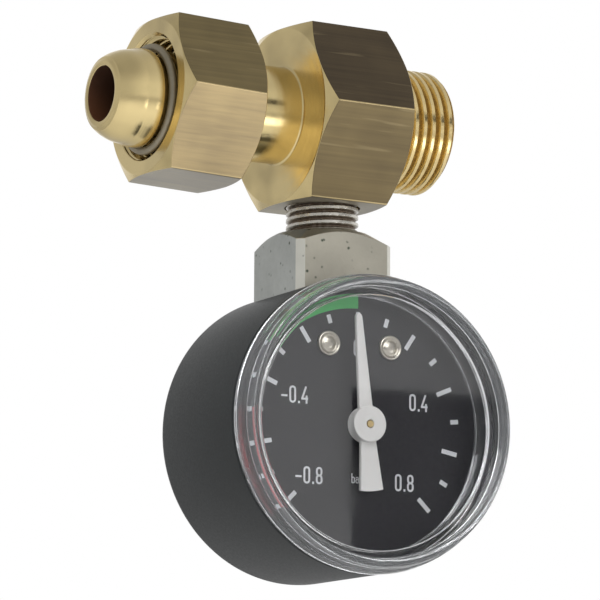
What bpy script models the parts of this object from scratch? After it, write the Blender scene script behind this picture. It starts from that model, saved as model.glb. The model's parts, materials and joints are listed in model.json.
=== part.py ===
"""Suction line vacuum gauge: a dial gauge hanging under an inline brass test fitting.

The fitting lies along X and its male thread ends at the origin, facing +X. The gauge hangs straight
down from the hexagon on a threaded stem, and its dial faces -Y, turned a little about the stem.
"""

import bmesh
import bpy
from math import asin, cos, hypot, pi, radians, sin, tan
from mathutils import Matrix

MM = 0.001

# Fitting, in millimetres along its axis from the stem's axis (positive towards the male thread).
MALE_END = 21.8
BODY_ACROSS_FLATS = 32.0
BODY_HALF_LENGTH = 9.4
NECK_RADIUS = 8.75
GROOVE_RADIUS = 8.0
GROOVE_SPAN = (-35.0, -37.6)
BALL_RADIUS = 8.4
BALL_CENTRE = -40.1
NOSE_END = -45.7
BORE_RADIUS = 4.9
MALE_THREAD_RADIUS = 11.35
MALE_THREAD_ROOT = 10.45
MALE_THREAD_PITCH = 1.814
MALE_RELIEF_END = 10.9
SEAT_RADIUS = 7.4
SEAT_DEPTH = 4.0

# Union nut, along its own axis from the inner face of its flange (positive towards the hexagon).
NUT_ACROSS_FLATS = 28.0
NUT_PIVOT = -23.4
NUT_FRONT = -12.8
NUT_BACK = 3.75
NUT_FLANGE_RADIUS = 9.3
NUT_CREST_RADIUS = 10.55
NUT_ROOT_RADIUS = 11.35
NUT_MOUTH_RADIUS = 11.5
NUT_LEAN = (-1.5, 2.5)

RING_PLACE = -36.3
RING_RADIUS = 9.15
RING_WIRE = 0.75
RING_OPENING = 20.0

# Gauge, from the dial's centre: X right, Y behind the dial, Z up.
DIAL_BELOW_FITTING = 57.1
DIAL_BEFORE_STEM = 13.64
GAUGE_TURN = -4.44
BLOCK_WIDTH = 19.0
BLOCK_BEVEL = 1.2
BLOCK_BOTTOM = 11.0
BLOCK_TOP = 36.0
BLOCK_TOP_RADIUS = 8.5
STEM_TOP = 49.6
STEM_THREAD_RADIUS = 6.55
STEM_THREAD_ROOT = 5.85
STEM_THREAD_PITCH = 1.337
STEM_BORE = 1.5
STEM_HOLE_RADIUS = 6.85
CHAMFER_ANGLE = 30.0

CASE_RADIUS = 26.2
CASE_INSIDE = 24.6
CASE_FRONT = -3.75
CASE_FLOOR = 24.0
CASE_BACK = 26.5
CASE_ROUND = 2.5
WINDOW_FRONT = -10.3
DIAL_RADIUS = 24.0
DIAL_THICKNESS = 0.5
DIAL_SCREWS = (6.1, 14.3)
CASE_SCREWS = (5.0, 16.0)
MOVEMENT_SCREWS = (13.4, 17.6)

POINTER_ANGLE = 4.95
POINTER_LENGTH = 19.6
POINTER_TAIL = 11.7
HUB_RADIUS = 3.2

# Movement: a pinion on the dial's axis, driven by a toothed sector below it.
PINION_TEETH = 10
SECTOR_TEETH_PER_TURN = 90
PINION_PITCH_RADIUS = 1.25
SECTOR_PITCH_RADIUS = 11.25
TOOTH_ADDENDUM = 0.2
TOOTH_DEDENDUM = 0.33
SECTOR_HALF_TEETH = 5
SECTOR_DROP = PINION_PITCH_RADIUS + SECTOR_PITCH_RADIUS
SECTOR_TAIL = 8.0
PILLARS = (8.0, 1.0)
FRONT_PLATE = (2.9, 3.8)
BACK_PLATE = (8.4, 9.2)

TUBE_RADIUS = 18.0
TUBE_HALF_SECTION = (1.2, 3.5)
TUBE_WALL = 0.3
TUBE_FREE_END = 160.0
TUBE_SWEEP = 266.0
END_PIECE_LENGTH = 4.6
END_PIN_ALONG = 2.6
LINK_SLOT = 2.5
LINK_SLOT_WIDTH = 1.9

GAP = 0.3
FINE_GAP = 0.15

BRASS = ("brass", (0.66, 0.49, 0.22), 0.28, 1.0)
NICKEL = ("nickel_plate", (0.55, 0.53, 0.47), 0.38, 1.0)
STEEL = ("steel", (0.56, 0.55, 0.53), 0.3, 1.0)
BRONZE = ("bronze", (0.62, 0.40, 0.20), 0.32, 1.0)
BLACK = ("black_case", (0.035, 0.042, 0.042), 0.5, 0.0)
DIAL_GREY = ("dial_grey", (0.03, 0.03, 0.035), 0.6, 0.0)
WHITE = ("white", (0.82, 0.82, 0.80), 0.5, 0.0)
CLEAR = ("clear", (0.92, 0.94, 0.95), 0.05, 0.0)


def clear_scene():
    for obj in list(bpy.data.objects):
        bpy.data.objects.remove(obj)


def new_collection(name):
    collection = bpy.data.collections.new(name)
    bpy.context.scene.collection.children.link(collection)
    return collection


def new_material(name, colour, roughness, metallic):
    material = bpy.data.materials.new(name)
    material.use_nodes = True
    shader = material.node_tree.nodes["Principled BSDF"]
    shader.inputs["Base Color"].default_value = (*colour, 1.0)
    shader.inputs["Roughness"].default_value = roughness
    shader.inputs["Metallic"].default_value = metallic
    return material


clear_scene()
PARTS = new_collection("vacuum_gauge")
CUTTERS = new_collection("cutters")


def new_axis(name, place, turn=(0.0, 0.0, 0.0), parent=None):
    """An empty at a place in mm, turned by XYZ angles in degrees, that pieces are parented to."""
    axis = bpy.data.objects.new(name, None)
    axis.empty_display_size = 0.005
    axis.location = [value * MM for value in place]
    axis.rotation_euler = [radians(value) for value in turn]
    axis.parent = parent
    PARTS.objects.link(axis)
    return axis


def new_object(name, data, cutter=False):
    obj = bpy.data.objects.new(name, data)
    (CUTTERS if cutter else PARTS).objects.link(obj)
    obj.hide_render = cutter
    if cutter:
        obj.display_type = "WIRE"
    return obj


def turned(name, outline, steps=36, sweep=360.0, start=0.0, cutter=False):
    """A shape turned about local Z from (radius, height) points, outer side from top to bottom."""
    mesh = bpy.data.meshes.new(name)
    points = [(radius * MM, 0.0, height * MM) for radius, height in outline]
    edges = [(index, index + 1) for index in range(len(points) - 1)]
    if outline[0][0] > 0.0:
        edges.append((len(points) - 1, 0))
    mesh.from_pydata(points, edges, [])
    mesh.transform(Matrix.Rotation(radians(start), 4, "Z"))
    obj = new_object(name, mesh, cutter)
    screw = obj.modifiers.new("turning", "SCREW")
    screw.axis = "Z"
    screw.angle = radians(sweep)
    screw.steps = steps
    screw.render_steps = steps
    screw.use_merge_vertices = True
    screw.merge_threshold = 0.000001
    return obj


def rod(name, radius, top, bottom, steps=12, cutter=False):
    return turned(name, [(0.0, top), (radius, top), (radius, bottom), (0.0, bottom)], steps, cutter=cutter)


def box(name, size, centre=(0.0, 0.0, 0.0), turn=None, bevel=0.0, cutter=False):
    """A box in mm; bevel rounds the four edges along local Z."""
    mesh = bpy.data.meshes.new(name)
    shape = bmesh.new()
    bmesh.ops.create_cube(shape, size=1.0)
    bmesh.ops.scale(shape, vec=[value * MM for value in size], verts=shape.verts)
    if bevel:
        upright = [edge for edge in shape.edges if abs(edge.verts[0].co.z - edge.verts[1].co.z) > 1e-6]
        bmesh.ops.bevel(shape, geom=upright, offset=bevel * MM, segments=1, affect="EDGES")
    if turn:
        bmesh.ops.rotate(shape, matrix=turn.to_3x3(), verts=shape.verts)
    bmesh.ops.translate(shape, vec=[value * MM for value in centre], verts=shape.verts)
    shape.to_mesh(mesh)
    shape.free()
    return new_object(name, mesh, cutter)


def hexagon(name, across_flats, top, bottom, cutter=False):
    """A six-sided bar along local Z with two corners on the local Y axis."""
    mesh = bpy.data.meshes.new(name)
    shape = bmesh.new()
    corner = across_flats / 2 / cos(pi / 6) * MM
    bmesh.ops.create_cone(
        shape, cap_ends=True, segments=6, radius1=corner, radius2=corner, depth=(top - bottom) * MM
    )
    bmesh.ops.translate(shape, vec=(0.0, 0.0, (top + bottom) / 2 * MM), verts=shape.verts)
    shape.to_mesh(mesh)
    shape.free()
    return new_object(name, mesh, cutter)


def plate(name, outlines, front, back):
    """A flat piece between two heights from closed outlines in mm: the outside, then its holes."""
    curve = bpy.data.curves.new(name, "CURVE")
    curve.dimensions = "2D"
    curve.fill_mode = "BOTH"
    curve.extrude = abs(front - back) / 2 * MM
    for outline in outlines:
        spline = curve.splines.new("POLY")
        spline.points.add(len(outline) - 1)
        for point, (x, y) in zip(spline.points, outline):
            point.co = (x * MM, y * MM, 0.0, 1.0)
        spline.use_cyclic_u = True
    solid = as_mesh(new_object(name, curve))
    solid.data.transform(Matrix.Translation((0.0, 0.0, (front + back) / 2 * MM)))
    return solid


def wire(name, points, radius, sides=2):
    """A round wire in mm through a list of points."""
    curve = bpy.data.curves.new(name, "CURVE")
    curve.dimensions = "3D"
    curve.bevel_depth = radius * MM
    curve.bevel_resolution = sides
    curve.use_fill_caps = True
    spline = curve.splines.new("POLY")
    spline.points.add(len(points) - 1)
    for point, place in zip(spline.points, points):
        point.co = (*[value * MM for value in place], 1.0)
    return as_mesh(new_object(name, curve))


def as_mesh(obj):
    """Replace an object by its evaluated mesh, welded, under the same name."""
    name = obj.name
    cutter = obj.hide_render
    matrix = obj.matrix_world.copy()
    graph = bpy.context.evaluated_depsgraph_get()
    mesh = bpy.data.meshes.new_from_object(obj.evaluated_get(graph))
    shape = bmesh.new()
    shape.from_mesh(mesh)
    bmesh.ops.remove_doubles(shape, verts=shape.verts, dist=0.000002)
    shape.to_mesh(mesh)
    shape.free()
    bpy.data.objects.remove(obj)
    solid = new_object(name, mesh, cutter)
    solid.matrix_world = matrix
    return solid


def placed(obj, place=(0.0, 0.0, 0.0), turn=(0.0, 0.0, 0.0)):
    """Move a cutter to a place in mm, turned by XYZ angles in degrees."""
    obj.location = [value * MM for value in place]
    obj.rotation_euler = [radians(value) for value in turn]
    return obj


def combine(obj, operation, *others):
    bpy.context.view_layer.update()
    for other in others:
        step = obj.modifiers.new(f"{operation.lower()}_{other.name}", "BOOLEAN")
        step.operation = operation
        step.solver = "EXACT"
        step.object = other
    return obj


def finish(obj, parent, look, place=(0.0, 0.0, 0.0), turn=(0.0, 0.0, 0.0)):
    """Bake the piece, shade it smooth with sharp corners, and set it on its axis."""
    bpy.context.view_layer.update()
    solid = as_mesh(obj)
    solid.data.shade_smooth()
    solid.data.set_sharp_from_angle(angle=radians(35.0))
    solid.data.materials.clear()
    name, colour, roughness, metallic = look
    solid.data.materials.append(new_material(f"{solid.name}_{name}", colour, roughness, metallic))
    solid.parent = parent
    solid.location = [value * MM for value in place]
    solid.rotation_euler = [radians(value) for value in turn]
    return solid


def arc(radius, start, end, count, centre=(0.0, 0.0)):
    """Points on a circle from one angle in degrees to another."""
    steps = [radians(start + (end - start) * index / (count - 1)) for index in range(count)]
    return [(centre[0] + radius * cos(angle), centre[1] + radius * sin(angle)) for angle in steps]


def circle(radius, centre=(0.0, 0.0), count=20):
    return arc(radius, 0.0, 360.0 * (count - 1) / count, count, centre)


def ridges(crest, root, top, bottom, pitch):
    """A zigzag of thread ridges running down from one height to another, as (radius, height)."""
    count = int((top - bottom) / pitch)
    outline = []
    for index in range(count):
        height = top - index * pitch
        outline += [(crest, height), (root, height - pitch / 2)]
    return outline


def toothed(pitch_radius, spacing, first, last, turn=0.0):
    """Gear teeth from the first to the last tooth, counted from local +Y, spacing in degrees."""
    tip = pitch_radius + TOOTH_ADDENDUM
    root = pitch_radius - TOOTH_DEDENDUM
    outline = []
    for tooth in range(first, last + 1):
        middle = tooth * spacing + turn
        for radius, share in ((root, -0.27), (tip, -0.11), (tip, 0.11), (root, 0.27)):
            angle = radians(90.0 + middle + share * spacing)
            outline.append((radius * cos(angle), radius * sin(angle)))
    return outline


def chamfered_blank(name, across_flats, top, bottom, cutter=True):
    """The turned body that gives a hexagon of that size its round chamfers at both ends."""
    start = across_flats / 2 - 0.05
    outer = across_flats / 2 / cos(pi / 6) + 1.0
    drop = (outer - start) * tan(radians(CHAMFER_ANGLE))
    outline = [(0.0, top), (start, top), (outer, top - drop)]
    outline += [(outer, bottom + drop), (start, bottom), (0.0, bottom)]
    return turned(name, outline, 48, cutter=cutter)


FITTING = new_axis("fitting_axis", (-MALE_END, 0.0, 0.0))
NUT = new_axis("nut_axis", (NUT_PIVOT, 0.0, 0.0), (0.0, 0.0, 0.0), FITTING)
RING = new_axis("ring_axis", (RING_PLACE, 0.0, 0.0), (0.0, 0.0, 0.0), FITTING)
STEM = new_axis("stem_axis", (-MALE_END, 0.0, -DIAL_BELOW_FITTING), (0.0, 0.0, GAUGE_TURN))
DIAL = new_axis("dial_axis", (0.0, -DIAL_BEFORE_STEM, 0.0), (0.0, 0.0, 0.0), STEM)
SECTOR = new_axis("sector_axis", (0.0, 0.0, -SECTOR_DROP), (0.0, 0.0, 0.0), DIAL)
TAIL = new_axis("link_axis", (-SECTOR_TAIL, 0.0, 0.0), (0.0, 0.0, 0.0), SECTOR)

# Local Z of a turned piece points along +X on the fitting and towards the viewer (-Y) on the gauge.
ALONG_X = (0.0, 90.0, 0.0)
FACING = (90.0, 0.0, 0.0)


def fitting_body():
    """Hexagon, neck, collar and ball nose on one side, male thread on the other, bored through."""
    hexagonal = hexagon("fitting_body", BODY_ACROSS_FLATS, BODY_HALF_LENGTH, -BODY_HALF_LENGTH)
    blank = chamfered_blank("body_blank", BODY_ACROSS_FLATS, BODY_HALF_LENGTH, -BODY_HALF_LENGTH)
    shank = [(0.0, MALE_END), (MALE_THREAD_ROOT, MALE_END)]
    shank += ridges(MALE_THREAD_RADIUS, MALE_THREAD_ROOT, MALE_END - 1.0, MALE_RELIEF_END, MALE_THREAD_PITCH)
    shank += [(MALE_THREAD_ROOT, MALE_RELIEF_END - 0.6), (MALE_THREAD_ROOT, 8.6), (NECK_RADIUS, 8.4)]
    shank += [(NECK_RADIUS, GROOVE_SPAN[0]), (GROOVE_RADIUS, GROOVE_SPAN[0])]
    shank += [(GROOVE_RADIUS, GROOVE_SPAN[1]), (NECK_RADIUS, GROOVE_SPAN[1])]
    shank += [(NECK_RADIUS, BALL_CENTRE + 0.3)]
    nose = asin((BALL_CENTRE - NOSE_END) / BALL_RADIUS)
    for index in range(8):
        angle = nose * index / 7
        shank.append((BALL_RADIUS * cos(angle), BALL_CENTRE - BALL_RADIUS * sin(angle)))
    shank.append((0.0, NOSE_END))
    shank = turned("shank", shank, cutter=True)
    bore = [(0.0, MALE_END + 1.0), (SEAT_RADIUS + 0.85, MALE_END + 1.0)]
    bore += [(BORE_RADIUS, MALE_END - SEAT_DEPTH)]
    bore += [(BORE_RADIUS, NOSE_END - 1.0), (0.0, NOSE_END - 1.0)]
    bore = turned("flow_bore", bore, 28, cutter=True)
    floor = STEM_TOP - DIAL_BELOW_FITTING + GAP
    port = [(0.0, -BORE_RADIUS + 1.5), (2.5, -BORE_RADIUS + 1.5), (2.5, floor), (STEM_HOLE_RADIUS, floor)]
    port += [(STEM_HOLE_RADIUS, -BODY_ACROSS_FLATS / 2 - 1.0), (0.0, -BODY_ACROSS_FLATS / 2 - 1.0)]
    port = placed(turned("stem_port", port, 28, cutter=True), turn=(0.0, -90.0, 0.0))
    combine(hexagonal, "INTERSECT", blank)
    combine(hexagonal, "UNION", shank)
    combine(hexagonal, "DIFFERENCE", bore, port)
    finish(hexagonal, FITTING, BRASS, turn=ALONG_X)


def union_nut():
    """Loose hexagon nut: a flange behind, a thread inside and a countersunk mouth in front."""
    nut = hexagon("union_nut", NUT_ACROSS_FLATS, NUT_BACK, NUT_FRONT)
    blank = chamfered_blank("nut_blank", NUT_ACROSS_FLATS, NUT_BACK, NUT_FRONT)
    bore = [(0.0, NUT_BACK + 1.0), (NUT_FLANGE_RADIUS, NUT_BACK + 1.0), (NUT_FLANGE_RADIUS, 0.0)]
    bore += [(NUT_ROOT_RADIUS, 0.0)]
    bore += ridges(NUT_CREST_RADIUS, NUT_ROOT_RADIUS, -0.8, NUT_FRONT + 1.2, MALE_THREAD_PITCH)
    bore += [(NUT_CREST_RADIUS, NUT_FRONT + 1.1), (NUT_MOUTH_RADIUS, NUT_FRONT)]
    bore += [(NUT_MOUTH_RADIUS, NUT_FRONT - 1.0), (0.0, NUT_FRONT - 1.0)]
    bore = turned("nut_bore", bore, cutter=True)
    combine(nut, "INTERSECT", blank)
    combine(nut, "DIFFERENCE", bore)
    solid = finish(nut, NUT, BRASS)
    sideways, upwards = NUT_LEAN
    lean = Matrix.Rotation(radians(sideways), 4, "Z") @ Matrix.Rotation(radians(upwards), 4, "Y")
    solid.rotation_euler = (lean @ Matrix.Rotation(radians(90.0), 4, "Y")).to_euler()


def retaining_ring():
    """Round wire sprung into the neck's groove, open at the back."""
    half = RING_OPENING / 2
    points = [(x, y, 0.0) for x, y in arc(RING_RADIUS, 90.0 + half, 450.0 - half, 32)]
    finish(wire("retaining_ring", points, RING_WIRE, 2), RING, STEEL, turn=ALONG_X)


def gauge_stem():
    """Square block with a turned top and a male thread, bored down to the tube's socket."""
    height = BLOCK_TOP - BLOCK_BOTTOM
    middle = (BLOCK_TOP + BLOCK_BOTTOM) / 2
    block = box("gauge_stem", (BLOCK_WIDTH, BLOCK_WIDTH, height), (0.0, 0.0, middle), bevel=BLOCK_BEVEL)
    drop = (BLOCK_WIDTH - BLOCK_TOP_RADIUS) * tan(radians(CHAMFER_ANGLE))
    blank = [(0.0, BLOCK_TOP), (BLOCK_TOP_RADIUS, BLOCK_TOP), (BLOCK_WIDTH, BLOCK_TOP - drop)]
    blank += [(BLOCK_WIDTH, BLOCK_BOTTOM - 1.0), (0.0, BLOCK_BOTTOM - 1.0)]
    blank = turned("block_blank", blank, cutter=True)
    thread = [(0.0, STEM_TOP), (STEM_THREAD_ROOT, STEM_TOP)]
    thread += ridges(STEM_THREAD_RADIUS, STEM_THREAD_ROOT, STEM_TOP - 0.8, BLOCK_TOP, STEM_THREAD_PITCH)
    thread += [(STEM_THREAD_ROOT, BLOCK_TOP - 1.0), (0.0, BLOCK_TOP - 1.0)]
    thread = turned("stem_thread", thread, 28, cutter=True)
    bore = [(0.0, STEM_TOP + 1.0), (2.1, STEM_TOP + 1.0), (2.1, STEM_TOP - 4.5), (STEM_BORE, STEM_TOP - 4.5)]
    bore += [(STEM_BORE, 14.0), (0.0, 14.0)]
    bore = turned("stem_bore", bore, 20, cutter=True)
    socket_angle = radians(TUBE_FREE_END + TUBE_SWEEP)
    socket = box(
        "tube_socket",
        (2 * TUBE_HALF_SECTION[0] + 2 * GAP, 2 * TUBE_HALF_SECTION[1] + 2 * GAP, 6.0),
        (TUBE_RADIUS * cos(socket_angle), 0.0, TUBE_RADIUS * sin(socket_angle)),
        Matrix.Rotation(-socket_angle, 4, "Y"),
        cutter=True,
    )
    passage = rod("tube_passage", 0.8, 5.2, 0.0, 12, cutter=True)
    placed(passage, (0.0, 0.0, 17.4), (0.0, 90.0, 0.0))
    combine(block, "INTERSECT", blank)
    combine(block, "UNION", thread)
    combine(block, "DIFFERENCE", bore, socket, passage)
    face = BLOCK_WIDTH / 2
    holes = [(side * DIAL_SCREWS[0], DIAL_SCREWS[1], -face - 1.0, -4.4, 1.1) for side in (-1, 1)]
    holes += [(0.0, height, -face - 1.0, -4.6, 1.0) for height in MOVEMENT_SCREWS]
    holes += [(side * CASE_SCREWS[0], CASE_SCREWS[1], 4.9, face + 1.0, 1.2) for side in (-1, 1)]
    for index, (x, z, near, far, radius) in enumerate(holes):
        hole = rod(f"block_hole_{index}", radius, -near, -far, 12, cutter=True)
        combine(block, "DIFFERENCE", placed(hole, (x, 0.0, z), FACING))
    finish(block, STEM, NICKEL)


def restrictor_screw():
    """Drilled plug that damps pulsing pressure, in the top of the stem's bore."""
    top = STEM_TOP - GAP
    bottom = top - 4.0
    outline = [(0.4, top), (1.9, top), (1.9, bottom), (0.4, bottom)]
    finish(turned("restrictor_screw", outline, 20), STEM, BRASS)


def case():
    """Cup with a rounded back edge, a slot for the block and two sunk screw holes behind."""
    inner = CASE_INSIDE
    outline = [(0.0, -CASE_FLOOR), (inner - 1.0, -CASE_FLOOR), (inner, -CASE_FLOOR + 1.0)]
    outline += [(inner, -CASE_FRONT), (CASE_RADIUS, -CASE_FRONT)]
    for x, y in arc(CASE_ROUND, 0.0, -90.0, 6, (CASE_RADIUS - CASE_ROUND, -CASE_BACK + CASE_ROUND)):
        outline.append((x, y))
    outline.append((0.0, -CASE_BACK))
    cup = turned("case", outline, 48)
    slot_width = BLOCK_WIDTH + 2 * GAP
    slot = box("block_slot", (slot_width, 12.0, slot_width), (0.0, 24.0, -DIAL_BEFORE_STEM), cutter=True)
    combine(cup, "DIFFERENCE", slot)
    for index, side in enumerate((-1, 1)):
        sunk = -CASE_FLOOR - 1.1
        hole = [(0.0, -CASE_FLOOR + 1.0), (1.35, -CASE_FLOOR + 1.0), (1.35, sunk), (2.7, sunk)]
        hole += [(2.7, -CASE_BACK - 1.0), (0.0, -CASE_BACK - 1.0)]
        hole = turned(f"case_hole_{index}", hole, 20, cutter=True)
        combine(cup, "DIFFERENCE", placed(hole, (side * CASE_SCREWS[0], CASE_SCREWS[1], 0.0)))
    finish(cup, DIAL, BLACK, turn=FACING)


def window():
    """Clear cap: a flat pane inside a stepped rim, with a skirt that snaps into the case."""
    front = -WINDOW_FRONT
    shoulder = -CASE_FRONT + GAP
    skirt = CASE_INSIDE - GAP
    outline = [(0.0, front - 1.5), (23.9, front - 1.5), (24.3, front - 0.4), (24.6, front)]
    outline += [(25.1, front), (25.4, front - 0.4), (26.45, front - 4.9), (26.1, shoulder + 0.2)]
    outline += [(26.0, shoulder), (skirt, shoulder), (skirt, 0.9), (22.8, 0.9)]
    outline += [(22.8, 6.4), (22.5, 7.1), (0.0, 7.1)]
    finish(turned("window", outline, 44), DIAL, CLEAR, turn=FACING)


def dial():
    """Flat disc with holes for the arbor and for the two screws."""
    x, z = DIAL_SCREWS
    holes = [circle(1.6), circle(1.15, (-x, z)), circle(1.15, (x, z))]
    disc = plate("dial", [circle(DIAL_RADIUS, count=48), *holes], 0.0, -DIAL_THICKNESS)
    finish(disc, DIAL, DIAL_GREY, turn=FACING)


def dial_screws():
    """Round heads with a raised rim and a domed middle, and the tubes that space the dial off."""
    x, z = DIAL_SCREWS
    head = [(0.0, 0.8), (0.7, 0.74), (1.15, 0.5), (1.45, 0.42), (1.7, 0.72), (2.0, 0.78), (2.2, 0.55)]
    head += [(2.2, FINE_GAP), (0.95, FINE_GAP), (0.95, -8.6), (0.0, -8.6)]
    block_face = BLOCK_WIDTH / 2 - DIAL_BEFORE_STEM
    sleeve_top = -DIAL_THICKNESS - FINE_GAP
    sleeve_end = block_face + FINE_GAP
    sleeve = [(1.15, sleeve_top), (1.7, sleeve_top), (1.7, sleeve_end), (1.15, sleeve_end)]
    for side, name in ((-1, "left"), (1, "right")):
        place = (side * x, 0.0, z)
        finish(turned(f"dial_screw_{name}", head, 24), DIAL, STEEL, place, FACING)
        finish(turned(f"dial_spacer_{name}", sleeve, 20), DIAL, BRASS, place, FACING)


def spun(points, angle):
    """Points turned counter-clockwise by an angle in degrees."""
    c, s = cos(radians(angle)), sin(radians(angle))
    return [(x * c - y * s, x * s + y * c) for x, y in points]


def pointer():
    """Tapered blade with a rounded tip, a round hub and a flared tail."""
    tip = POINTER_LENGTH - 0.5
    blade = [(1.5, 0.0), *arc(0.62, 0.0, 180.0, 7, (0.0, tip)), (-1.5, 0.0)]
    blade += [(-1.55, -3.0), (-2.25, -POINTER_TAIL), (2.25, -POINTER_TAIL), (1.55, -3.0)]
    shape = plate("pointer", [spun(blade, POINTER_ANGLE)], 3.4, 2.7)
    hub = [(0.0, 4.5), (HUB_RADIUS - 0.15, 4.5), (HUB_RADIUS, 4.35), (HUB_RADIUS, 1.9), (0.0, 1.9)]
    combine(shape, "UNION", turned("hub", hub, 28, cutter=True))
    combine(shape, "DIFFERENCE", rod("hub_bore", 0.75, 5.0, 1.0, 16, cutter=True))
    finish(shape, DIAL, WHITE, turn=FACING)


def pinion_arbor():
    """Arbor that carries the pointer, with its pinion cut in one piece."""
    spacing = 360.0 / PINION_TEETH
    teeth = toothed(PINION_PITCH_RADIUS, spacing, 0, PINION_TEETH - 1, spacing / 2)
    gear = plate("pinion_arbor", [teeth], -5.2, -7.0)
    back = -BACK_PLATE[0] + 0.2
    shaft = [(0.0, 4.6), (0.6, 4.6), (0.6, back), (0.4, back), (0.4, -BACK_PLATE[1]), (0.0, -BACK_PLATE[1])]
    combine(gear, "UNION", turned("arbor_shaft", shaft, 16, cutter=True))
    finish(gear, DIAL, BRASS, turn=FACING)


def hairspring():
    """Flat spiral that takes up the backlash, and the collet that holds it on the arbor."""
    collet = [(0.75, -7.3), (1.15, -7.3), (1.15, -7.8), (0.75, -7.8)]
    finish(turned("hairspring_collet", collet, 20), DIAL, BRASS, turn=FACING)
    turns = 5.25
    points = []
    count = 74
    for index in range(count):
        along = index / (count - 1)
        radius = 1.4 + 2.2 * along
        angle = 2 * pi * turns * along
        points.append((radius * cos(angle), radius * sin(angle), -7.55))
    finish(wire("hairspring", points, 0.07, 0), DIAL, BRONZE, turn=FACING)


def sector():
    """Toothed sector with a tail for the link, and its arbor."""
    spacing = 360.0 / SECTOR_TEETH_PER_TURN
    outline = [(1.6, 1.6)]
    outline += toothed(SECTOR_PITCH_RADIUS, spacing, -SECTOR_HALF_TEETH, SECTOR_HALF_TEETH)
    outline += [(-1.6, 1.7), *arc(1.4, 90.0, 270.0, 9, (-SECTOR_TAIL, 0.0)), *arc(2.3, 215.0, 360.0, 9)]
    holes = [circle(0.8, count=16), circle(0.65, (-SECTOR_TAIL, 0.0), 14)]
    gear = plate("sector_gear", [outline, *holes], -5.6, -6.6)
    finish(gear, SECTOR, BRASS, turn=FACING)
    front = -FRONT_PLATE[1] - FINE_GAP
    back = -BACK_PLATE[0] + FINE_GAP
    arbor = [(0.0, -FRONT_PLATE[0]), (0.42, -FRONT_PLATE[0]), (0.42, front), (0.65, front)]
    arbor += [(0.65, back), (0.42, back), (0.42, -BACK_PLATE[1]), (0.0, -BACK_PLATE[1])]
    finish(turned("sector_arbor", arbor, 16), SECTOR, STEEL, turn=FACING)


def movement_plates():
    """Front plate with a tongue up the block, back plate, and the two pillars between them."""
    x, z = PILLARS
    corner = 2.3
    edge = 90.0 - degrees_between((x, z), (0.0, -SECTOR_DROP))
    right = arc(corner, -edge, 90.0, 9, (x, z))
    left = arc(corner, 90.0, 180.0 + edge, 9, (-x, z))
    below = arc(corner, 180.0 + edge, 360.0 - edge, 9, (0.0, -SECTOR_DROP))
    tongue = [(3.0, z + corner), (3.0, 19.8), (-3.0, 19.8), (-3.0, z + corner)]
    pivots = [circle(0.6, (0.0, -SECTOR_DROP), 14), circle(0.65, (x, z), 14), circle(0.65, (-x, z), 14)]
    screws = [circle(1.0, (0.0, height), 14) for height in MOVEMENT_SCREWS]
    front = [right + tongue + left + below, circle(0.8, count=16), *pivots, *screws]
    back = [right + left + below, circle(0.6, count=14), *pivots]
    front = plate("movement_front_plate", front, -FRONT_PLATE[0], -FRONT_PLATE[1])
    back = plate("movement_back_plate", back, -BACK_PLATE[0], -BACK_PLATE[1])
    finish(front, DIAL, BRASS, turn=FACING)
    finish(back, DIAL, BRASS, turn=FACING)
    upper = -FRONT_PLATE[1] - FINE_GAP
    lower = -BACK_PLATE[0] + FINE_GAP
    pillar = [(0.0, -FRONT_PLATE[0]), (0.5, -FRONT_PLATE[0]), (0.5, upper), (1.1, upper)]
    pillar += [(1.1, lower), (0.5, lower), (0.5, -BACK_PLATE[1]), (0.0, -BACK_PLATE[1])]
    for side, name in ((-1, "left"), (1, "right")):
        finish(turned(f"pillar_{name}", pillar, 16), DIAL, BRASS, (side * x, 0.0, z), FACING)


def degrees_between(first, second):
    """Angle from the X axis of the line between two points."""
    return asin(abs(first[1] - second[1]) / hypot(first[0] - second[0], first[1] - second[1])) * 180.0 / pi


def movement_screws():
    """Two cheese-headed screws through the front plate's tongue into the block."""
    top = -FRONT_PLATE[0] + FINE_GAP
    outline = [(0.0, top + 1.0), (1.5, top + 1.0), (1.5, top), (0.8, top), (0.8, -8.6), (0.0, -8.6)]
    for name, height in zip(("lower", "upper"), MOVEMENT_SCREWS):
        screw = turned(f"movement_screw_{name}", outline, 16)
        finish(screw, DIAL, STEEL, (0.0, 0.0, height), FACING)


def case_screws():
    """Screws from the back of the case into the block."""
    seat = -CASE_FLOOR - 1.1 - FINE_GAP
    head_end = -CASE_BACK + 0.1
    outline = [(0.0, -19.2), (1.0, -19.2), (1.0, seat), (2.4, seat), (2.4, head_end), (0.0, head_end)]
    for side, name in ((-1, "left"), (1, "right")):
        place = (side * CASE_SCREWS[0], 0.0, CASE_SCREWS[1])
        finish(turned(f"case_screw_{name}", outline, 20), DIAL, STEEL, place, FACING)


def tube_end():
    """Place of the tube's free end in the dial's plane, and the direction on past it."""
    angle = radians(TUBE_FREE_END)
    return (TUBE_RADIUS * cos(angle), TUBE_RADIUS * sin(angle)), (sin(angle), -cos(angle))


def end_pin():
    (x, z), (along_x, along_z) = tube_end()
    return x + END_PIN_ALONG * along_x, z + END_PIN_ALONG * along_z


def bourdon_tube():
    """Flattened tube bent round the movement, open at the block and at its free end."""
    half_width, half_depth = TUBE_HALF_SECTION
    outline = []
    for index in range(10):
        angle = 2 * pi * index / 10
        radius = TUBE_RADIUS + half_width * sin(angle)
        outline.append((radius, -DIAL_BEFORE_STEM + half_depth * cos(angle)))
    tube = turned("bourdon_tube", outline, 24, TUBE_SWEEP, TUBE_FREE_END)
    wall = tube.modifiers.new("wall", "SOLIDIFY")
    wall.thickness = TUBE_WALL * MM
    wall.offset = -1.0
    finish(tube, DIAL, BRONZE, turn=FACING)


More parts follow.
